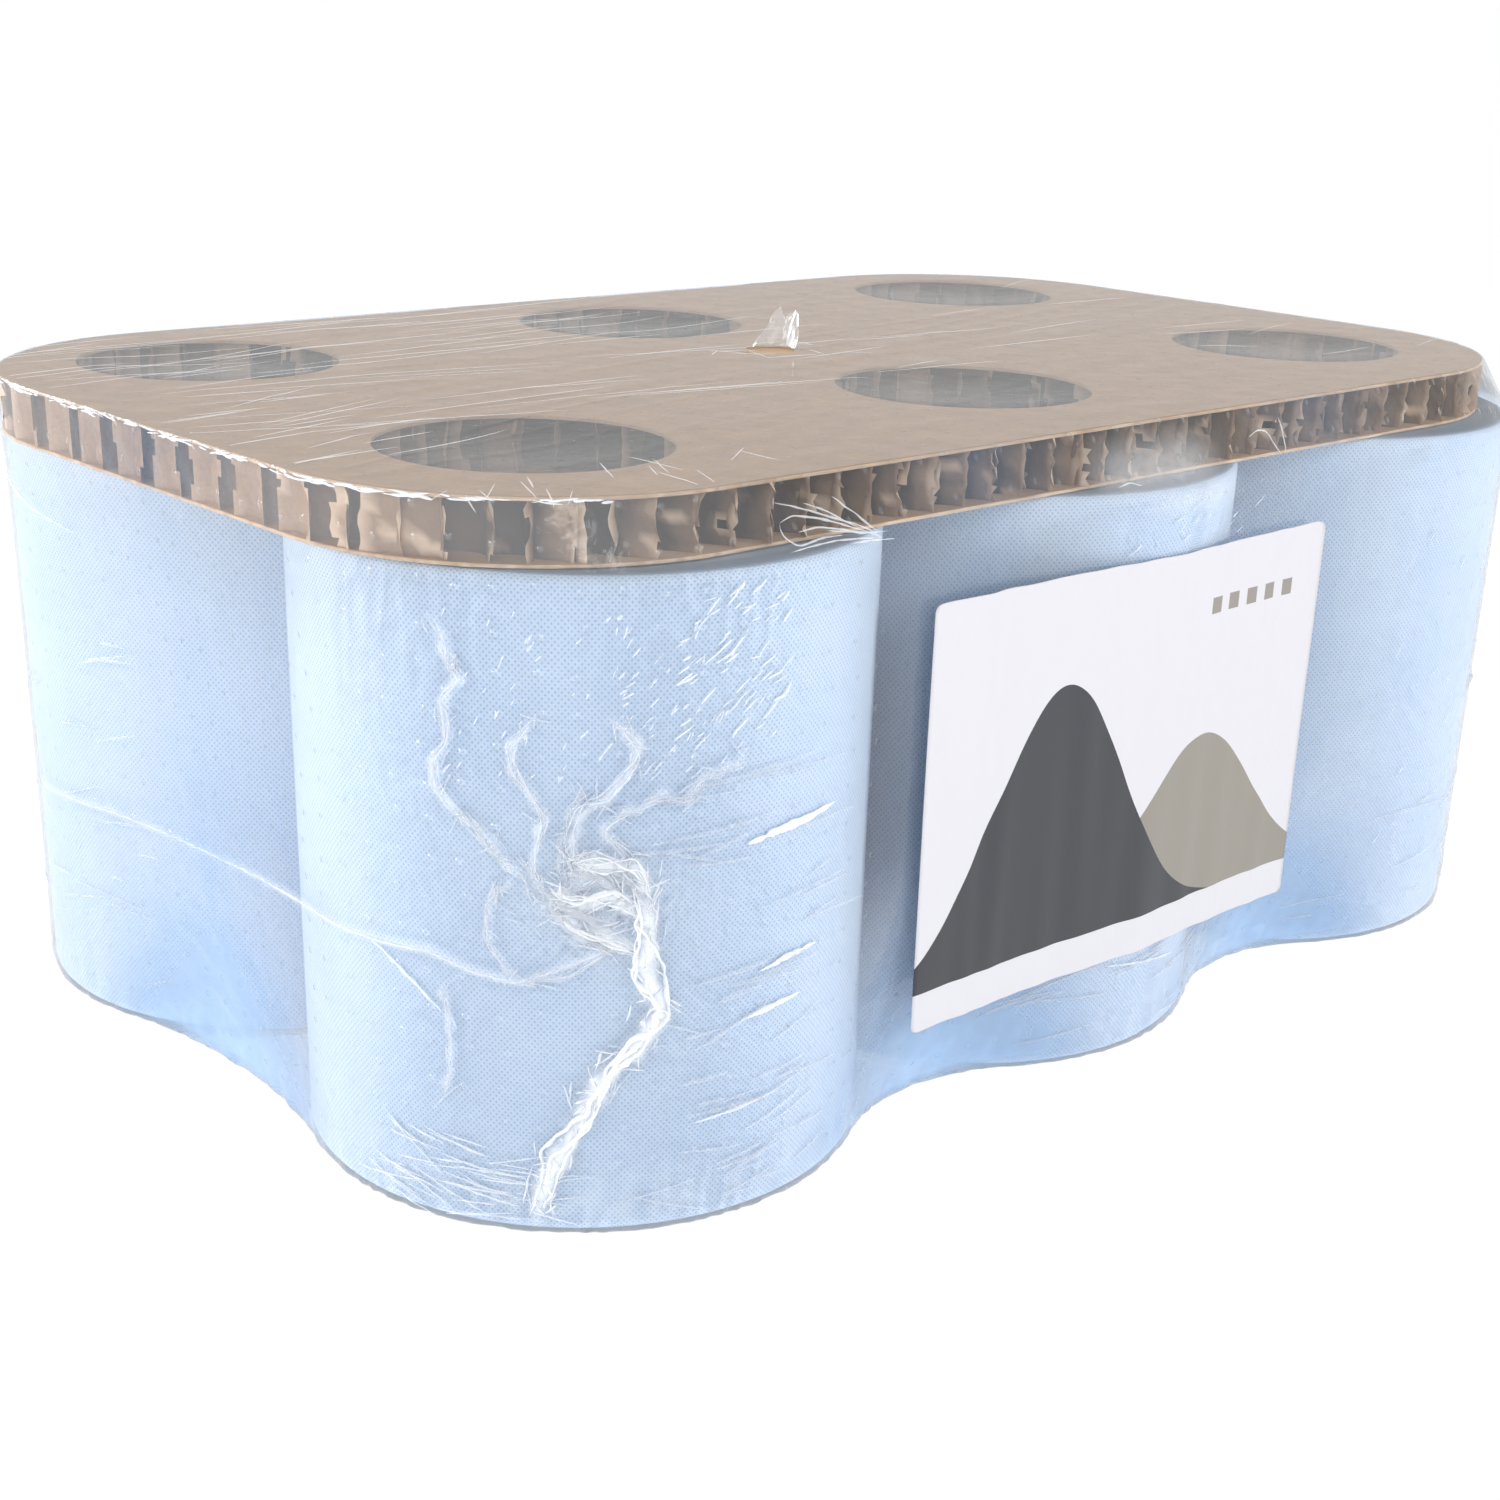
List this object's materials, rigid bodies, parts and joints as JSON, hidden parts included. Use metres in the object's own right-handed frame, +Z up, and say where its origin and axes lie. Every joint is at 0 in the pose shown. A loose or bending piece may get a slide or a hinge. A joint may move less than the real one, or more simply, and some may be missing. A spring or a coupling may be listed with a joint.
{
  "type": "pack of hand towel rolls",
  "caption": "Shrink wrapped pack of wound paper hand towel rolls standing on end under a honeycomb card pad, with a plain printed label on the film.",
  "frame": {"origin": "on the ground plane under the middle of the six rolls", "axes": "X along the side with three rolls, Y along the side with two rolls, Z up; the label is on the -Y side"},
  "size_m": [0.5705, 0.3789, 0.2461],
  "materials": {
    "towel_paper": "matt embossed paper",
    "core_board": "matt card",
    "kraft_liner": "matt kraft card",
    "kraft_honeycomb": "matt kraft paper",
    "clear_film": "clear gloss film",
    "label_paper": "satin paper"
  },
  "bodies": {
    "root": {"towel_roll_front_left": "towel_paper", "towel_roll_front_middle": "towel_paper", "towel_roll_front_right": "towel_paper", "towel_roll_back_left": "towel_paper", "towel_roll_back_middle": "towel_paper", "towel_roll_back_right": "towel_paper", "roll_core_front_left": "core_board", "roll_core_front_middle": "core_board", "roll_core_front_right": "core_board", "roll_core_back_left": "core_board", "roll_core_back_middle": "core_board", "roll_core_back_right": "core_board", "pad_top_liner": "kraft_liner", "pad_honeycomb": "kraft_honeycomb", "pad_bottom_liner": "kraft_liner", "shrink_film": "clear_film", "label_sheet": "label_paper"}
  },
  "joints": []
}
